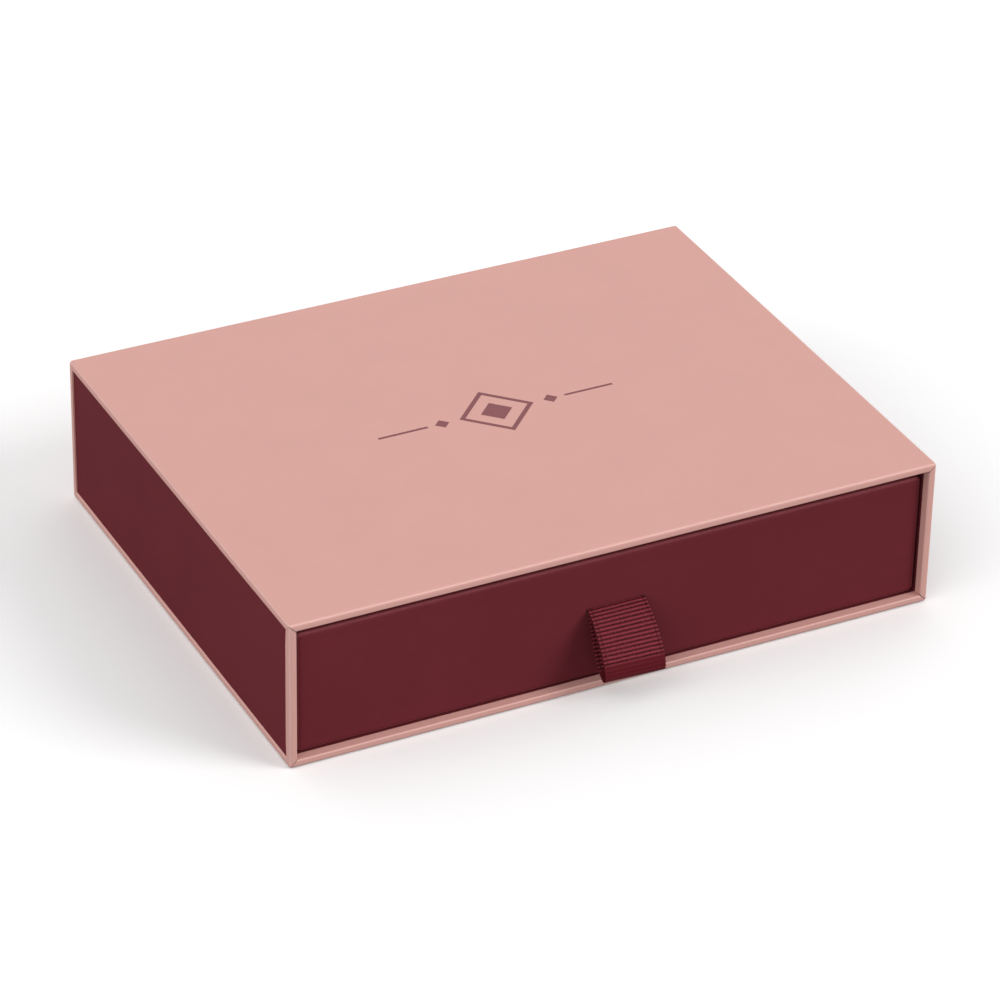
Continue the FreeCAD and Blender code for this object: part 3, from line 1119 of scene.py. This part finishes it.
near_edge = edge_steps(tray_radius) + [tray_wall - step for step in lip_steps] + [0.0]
slit_steps = edge_steps(slit_radius)
tray_lines = []
for axis, (low, high) in enumerate(zip(tray_low, tray_high)):
    marks = both_ends(low, high, near_edge) + [high - step for step in lip_steps]
    marks += [tray_floor] if axis == 2 else both_ends(low, high, [turn_in])
    if axis == 1:
        marks += [low + step for step in slit_steps + [cut_fold]]
    else:
        marks += both_ends(low, high, (3.0, 4.0, crown_reach))
        marks += both_ends(*slit_spans[axis], [-step for step in slit_steps])
    tray_lines.append(lattice(marks))


def tray_filled(x, y, z):
    """The tray without its hollow and its slit."""
    hollow = (abs(x) < tray_in_high[0]) & (y > tray_in_low[1]) & (y < tray_in_high[1])
    hollow &= z > tray_floor
    slit = (abs(x) < slit_half[0]) & (abs(z - slit_z) < slit_half[1])
    slit &= y < tray_in_low[1]
    return ~(hollow | slit)


hollow_spans = {i: (tray_in_low[i], tray_in_high[i]) for i in (0, 1)}
tray_rim = (2, 1, tray_high[2], hollow_spans, lip_radius)
slit_mouth = (1, -1, tray_low[1], slit_spans, slit_radius)


def soften_tray(point):
    """A point of the tray on its rounded edges, rim, slit and crowned front."""
    point = round_lip(point, tray_rim)
    if point[1] < tray_low[1] + near_front:
        point = round_lip(point, slit_mouth)
    from_edge = min(*(point - tray_low)[::2], *(tray_high - point)[::2])
    softened = round_box(point, tray_low, tray_high, tray_radius)
    if point[1] < tray_low[1] + on_front:
        softened[1] += crown * max(0.0, 1 - from_edge / crown_reach) ** 2
    return softened


def covered_by_wrap(middle, axis):
    """Whether the drawer's wrap covers a face of its form."""
    x, y, z = middle
    if z < tray_low[2] + hair:
        return min(tray_high[0] - abs(x), y - tray_low[1], tray_high[1] - y) < turn_in
    if axis == 2 and z < tray_floor + hair:
        return False
    in_slit = abs(x) < slit_half[0] + hair and abs(z - slit_z) < slit_half[1] + hair
    return not (in_slit and tray_low[1] + cut_fold < y < tray_in_low[1] - hair)


tray_faces = [
    corners
    for corners, axis in skin(tray_lines, tray_filled)
    if covered_by_wrap(np.mean(corners, axis=0), axis)
]
drawer_wrap = sheet(
    "drawer_wine_wrap", tray_faces, wine_paper, soften_tray, wobble=0.05, wobble_size=38.0
)
dress(drawer_wrap, "drawer", "wine_paper", "drawer_wrap")

floor_sheet = flat_sheet(
    "drawer_wine_floor", tray_in_low, tray_in_high, tray_floor, wine_paper, swell=0.1
)
dress(floor_sheet, "drawer", "wine_paper", "drawer_floor_paper")
under_low, under_high = cad("drawer_base_sheet")
under_sheet = flat_sheet("drawer_wine_base", under_low, under_high, tray_low[2], wine_paper)
dress(under_sheet, "drawer", "wine_paper", "drawer_base_sheet")

# %% [markdown]
# ## The lining card
#
# A stiff covered card stands behind the drawer's front and hides the ribbon's glued ends.
# It is a slim board with soft edges, and a shallow pocket in its back for the ribbon.

# %% Lining card
card_low, card_high = cad("front_lining_card")
tails_low, tails_high = cad("ribbon_tails")
card_radius, card_spacing = 0.4, 5.0
pocket_play, pocket_gap = 1.0, 0.05  # round the glued ends, and behind them
pocket_low = np.array([tails_low[0], card_low[1], tails_low[2]]) - pocket_play
pocket_high = tails_high + np.array([pocket_play, pocket_gap, pocket_play])
card_lines = []
for axis in range(3):
    steps = edge_steps(card_radius) + [0.0]
    marks = both_ends(card_low[axis], card_high[axis], steps)
    reach = (pocket_low[axis], pocket_high[axis])
    marks += [place for place in reach if place > card_low[axis]]
    card_lines.append(lattice(marks, card_spacing))


def card_filled(*place):
    """The card without its pocket."""
    spans = zip(place, pocket_low, pocket_high)
    pocket = [(value > low) & (value < high) for value, low, high in spans]
    return ~(pocket[0] & pocket[1] & pocket[2])


def soften_card(point):
    return round_box(point, card_low, card_high, card_radius)


card_faces = [corners for corners, axis in skin(card_lines, card_filled)]
card_mesh = shell("drawer_wine_lining_card", card_faces, soften_card)
card = smooth(put("drawer_wine_lining_card", card_mesh, wine_paper))
dress(card, "drawer", "wine_paper", "front_lining_card")

# %% [markdown]
# ## The ribbon's line
#
# The pull is one length of grosgrain: glued behind the front, out through the slit, down
# in a loop with a pressed fold, back through the slit and glued again. A Bezier curve in
# side view is the natural way to draw it, because its automatic handles give the springy
# shape that a stiff ribbon takes. The straight parts have their handles given.

# %% Ribbon line
ribbon_width = tails_high[0] - tails_low[0]
ribbon_thick = 0.5
ply = 0.28  # from the slit's middle to the middle of each ply
bend = 0.34  # radius of the turn behind the front
behind = tails_high[1] - ribbon_thick / 2  # where the glued ends stand
round_arm = 0.5523  # a Bezier handle for a quarter-circle, as a share of its radius
loop_points = [  # how far out of the drawer's front, and how far above the slit
    (2.9, -1.1),
    (6.2, -3.8),
    (9.0, -6.7),
    (11.3, -9.6),
    (12.9, -12.4),
    (13.8, -15.3),
    (13.6, -17.3),
    (12.5, -18.0),
    (10.9, -17.3),
    (8.6, -15.2),
    (6.3, -12.3),
    (4.1, -8.9),
    (1.9, -4.4),
]
pressed_from = 12.9  # where the pressed fold starts, below the slit
pressed_past = 3.0  # how far it runs on after the loop's lowest point
front_y = tray_low[1]


def bezier(name, stops):
    """A curve in side view through (y, z, handle before, handle after), in millimetres."""
    data = bpy.data.curves.new(name, "CURVE")
    data.dimensions = "3D"
    data.resolution_u = 24
    line = data.splines.new("BEZIER")
    line.bezier_points.add(len(stops) - 1)
    for point, (y, z, before, after) in zip(line.bezier_points, stops):
        point.co = Vector((0, y, z)) * MM
        kind = "AUTO" if before is None else "FREE"
        point.handle_left_type = point.handle_right_type = kind
        if before is not None:
            point.handle_left = Vector((0, y + before[0], z + before[1])) * MM
            point.handle_right = Vector((0, y + after[0], z + after[1])) * MM
    return data


def ply_stops(up):
    """One ply from its glued end to the drawer's front. up is 1 or -1."""
    end = tails_high[2] if up > 0 else tails_low[2]
    arm = round_arm * bend
    return [
        (behind, end, (0, up), (0, -up * 3)),
        (behind, slit_z + up * (ply + bend), (0, up * 3), (0, -up * arm)),
        (behind - bend, slit_z + up * ply, (arm, 0), (-0.6, 0)),
        (front_y, slit_z + up * ply, (0.6, 0), (-0.35, 0)),
    ]


stops = ply_stops(1)
stops += [(front_y - out, slit_z + up, None, None) for out, up in loop_points]
stops += [(y, z, after, before) for y, z, before, after in reversed(ply_stops(-1))]
ribbon_line = bezier("ribbon_line", stops)

probe = bpy.data.objects.new("probe", ribbon_line)
scene.collection.objects.link(probe)
traced = np.array([v.co for v in bpy.data.meshes.new_from_object(probe).vertices]) / MM
bpy.data.objects.remove(probe)
strides = np.linalg.norm(np.diff(traced, axis=0), axis=1)
along = np.concatenate([[0.0], np.cumsum(strides)])
ribbon_length = float(along[-1])
lowest = int(traced[:, 2].argmin())
in_fold = (traced[:, 2] < slit_z - pressed_from) & (traced[:, 1] < front_y)
fold_start = float(along[in_fold.argmax()])
fold_end = float(along[lowest]) + pressed_past
print(f"ribbon: {ribbon_length:.1f} mm long, fold from {fold_start:.1f} to {fold_end:.1f}")

# %% [markdown]
# ## Grosgrain by rule
#
# Grosgrain has heavy threads across it, which stand up as ribs, and a firm edge where they
# turn back in small beads. All of it repeats along the ribbon's line, so a node tree makes
# it: a grid is laid along the line, and each point is pushed out by the height of the
# weave at its place. Where the loop is pressed flat the ribs fade. Both faces come from
# the same grid, and they meet at the edges. The tree also stores where each point is on
# the weave, for the material.

# %% Geometry nodes: grosgrain
tree, came, went = new_group(
    "grosgrain_ribbon",
    "GeometryNodeTree",
    {
        "Line": GEOMETRY,
        "Width": 0.020,
        "Thickness": 0.0005,
        "Length": 0.08,
        "Rib Spacing": 0.00127,
        "Rib Depth": 0.00019,
        "Edge Band": 0.0011,
        "Fold Start": 0.03,
        "Fold End": 0.04,
        "Front": -0.083,
        "Twist": 0.085,
        "Droop": 0.03,
        "Cloth": MATERIAL,
    },
    {"Geometry": GEOMETRY},
)
columns, rows_to_a_rib = 45, 8.0
crowding = 0.25  # how much closer the columns stand near the edges
fade = 0.0012  # how soon the ribs fade where the fold starts and ends
bead_out = 0.00012  # how far the beads stand out of the ribbon's edge
edge_round, end_round = 0.00022, 0.0002
pressed_flat, pressed_deep = 0.85, 0.12  # what the fold takes off the ribs and the ribbon
twists_from, twists_by = 0.001, 0.012  # in front of the drawer

half_width = times(came["Width"], 0.5)
ribs = sum_of("ROUND")(divide(came["Length"], came["Rib Spacing"]))
inputs = {
    "Size X": 2.0,
    "Size Y": 1.0,
    "Vertices X": columns,
    "Vertices Y": times_plus(ribs, rows_to_a_rib, 1.0),
}
grid = node("GeometryNodeMeshGrid", inputs).outputs["Mesh"]
spot = parts_of(tree.nodes.new("GeometryNodeInputPosition").outputs[0])
crowd = sine(times(spot["X"], math.pi))
across = times(times_plus(crowd, crowding, spot["X"]), half_width)
share = plus(spot["Y"], 0.5)
run = times(share, came["Length"])
inward = minus(half_width, absolute(across))

# The height of the weave: ribs in the middle, beads in the band along the edge.
wave = sine(times(times(share, ribs), math.pi))
wave = power(absolute(wave), 1.8)
band = divide(inward, came["Edge Band"])
bead = sine(times(least(band, 1.0), math.pi))
bead = times(power(most(bead, 0.0), 0.5), wave)
crest = mix(eased(band, 0.95, 1.2), bead, wave, kind="FLOAT")
begins = eased(run, minus(came["Fold Start"], fade), came["Fold Start"])
ends = eased(run, plus(came["Fold End"], fade), came["Fold End"])
folded = times(begins, ends)
ribbed = minus(1.0, times(folded, pressed_flat))
sunk = times(minus(1.0, crest), ribbed)
sunk = times(times_plus(folded, pressed_deep, sunk), came["Rib Depth"])

# The thickness, which goes to nothing in a round at the edges and the ends.
edge = least(divide(inward, edge_round), 1.0)
to_end = least(run, minus(came["Length"], run))
edge = times(edge, least(divide(to_end, end_round), 1.0))
arch = minus(1.0, power(minus(1.0, edge), 2.0))
arch = sum_of("SQRT")(most(arch, 0.0))
half = minus(times(came["Thickness"], 0.5), sunk)
height = times(half, arch)

# The place along the line, and how the loop twists and droops in front of the drawer.
inputs = {"Curves": came["Line"], "Length": run}
on_line = node("GeometryNodeSampleCurve", inputs, mode="LENGTH").outputs
out = vector("CROSS_PRODUCT", {0: on_line["Tangent"], 1: (1.0, 0.0, 0.0)})
scallop = times(eased(band, 0.5, 0.0), times(wave, bead_out))
scallop = minus(scallop, bead_out)
outer = times_plus(sign(across), scallop, across)
reach = minus(came["Front"], parts_of(on_line["Position"])["Y"])
reach = eased(reach, twists_from, twists_by)
forward = times(times(outer, came["Twist"]), reach)
from_right = minus(outer, half_width)
lower = times(times(from_right, came["Droop"]), reach)
sideways = vector_of(X=outer, Y=times(forward, -1.0), Z=lower)

kept = grid
for title, kind, domain, value in (
    ("weave", "FLOAT2", "CORNER", vector_of(X=across, Y=run)),
    ("crest", "FLOAT", "POINT", crest),
    ("pressed", "FLOAT", "POINT", folded),
):
    inputs = {"Geometry": kept, "Name": title, "Value": value}
    kept = output("GeometryNodeStoreNamedAttribute", inputs, data_type=kind, domain=domain)


def face(side):
    """The grid laid on one side of the ribbon's line."""
    offset = {0: out, "Scale": times(height, float(side))}
    place = vector("ADD", {0: on_line["Position"], 1: vector("SCALE", offset)})
    place = vector("ADD", {0: place, 1: sideways})
    inputs = {"Geometry": kept, "Position": place}
    return output("GeometryNodeSetPosition", inputs)


back = output("GeometryNodeFlipFaces", {0: face(-1)})
cloth = closed_mesh(joined_geometry(face(1), back), 2e-6, came["Cloth"])
give(went, {"Geometry": cloth})
grosgrain_tree = tree

# %% [markdown]
# ## Ribbon cloth
#
# The ribs catch the light on their crests and hold shadow between them, and the material
# paints that in again: a painted highlight on the crests and painted shade in the furrows.
# It adds what is finer than the mesh, the thin lengthwise threads that bind the ribs, and a
# flat, darker colour on the pressed fold.

# %% Shader group and material: grosgrain
tree, came, went = new_group(
    "fine_threads",
    "ShaderNodeTree",
    {
        "Crest Colour": white,
        "Furrow Colour": black,
        "Pressed Colour": black,
        "Thread Spacing": 0.00024,
        "Thread Depth": 0.5,
    },
    look_outputs,
)


def stored(title):
    return node("ShaderNodeAttribute", tree=tree, attribute_name=title).outputs


weave = stored("weave")["Vector"]
crest, pressed = stored("crest")["Fac"], stored("pressed")["Fac"]
thread = divide(parts_of(weave)["X"], came["Thread Spacing"])
thread = absolute(sine(times(thread, math.pi)))
strands = soft_noise(weave, 1400.0, 2.0)
# By the stored rib height the crests get a painted highlight and the furrows painted shade.
lit = times(crest, times_plus(thread, 0.3, 0.7))
lit = times_plus(minus(strands, 0.5), 0.8, lit, clamp=True)
ribbed = mix(lit, came["Furrow Colour"], came["Crest Colour"])
colour = mix(times(pressed, pressed_flat), ribbed, came["Pressed Colour"])
dull, raised = times_plus(crest, -0.12, 0.62), times(thread, came["Thread Depth"])
give(went, {"Colour": colour, "Roughness": dull, "Height": raised})

grosgrain = new_material(
    "grosgrain",
    tree,
    grain=0.00002,
    specular=0.08,
    sheen=0.05,
    crest_colour=(142, 55, 67),
    furrow_colour=(54, 2, 6),
    pressed_colour=(88, 18, 26),
)

# %% Ribbon
ribbon = grown(
    "ribbon_pull",
    ribbon_line,
    grosgrain_tree,
    grosgrain,
    width=ribbon_width * MM,
    thickness=ribbon_thick * MM,
    length=ribbon_length * MM,
    fold_start=fold_start * MM,
    fold_end=fold_end * MM,
    front=front_y * MM,
    cloth=grosgrain,
)
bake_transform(ribbon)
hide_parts("ribbon_loop", "ribbon_tails")
print("ribbon faces:", len(ribbon.data.polygons))

# %% [markdown]
# ## Boards and tape
#
# The boards, the posts and the gummed tapes keep their own meshes, which already have the
# right shape, and get the speckled board and the brown tape materials.

# %% Boards and tape
for name, solid in frame["nodes"].items():
    for place in solid.material_slots:
        place.material = bpy.data.materials[place.material.name.replace("plain_", "")]
print("solids kept:", [n for n, s in frame["nodes"].items() if not s.hide_render])
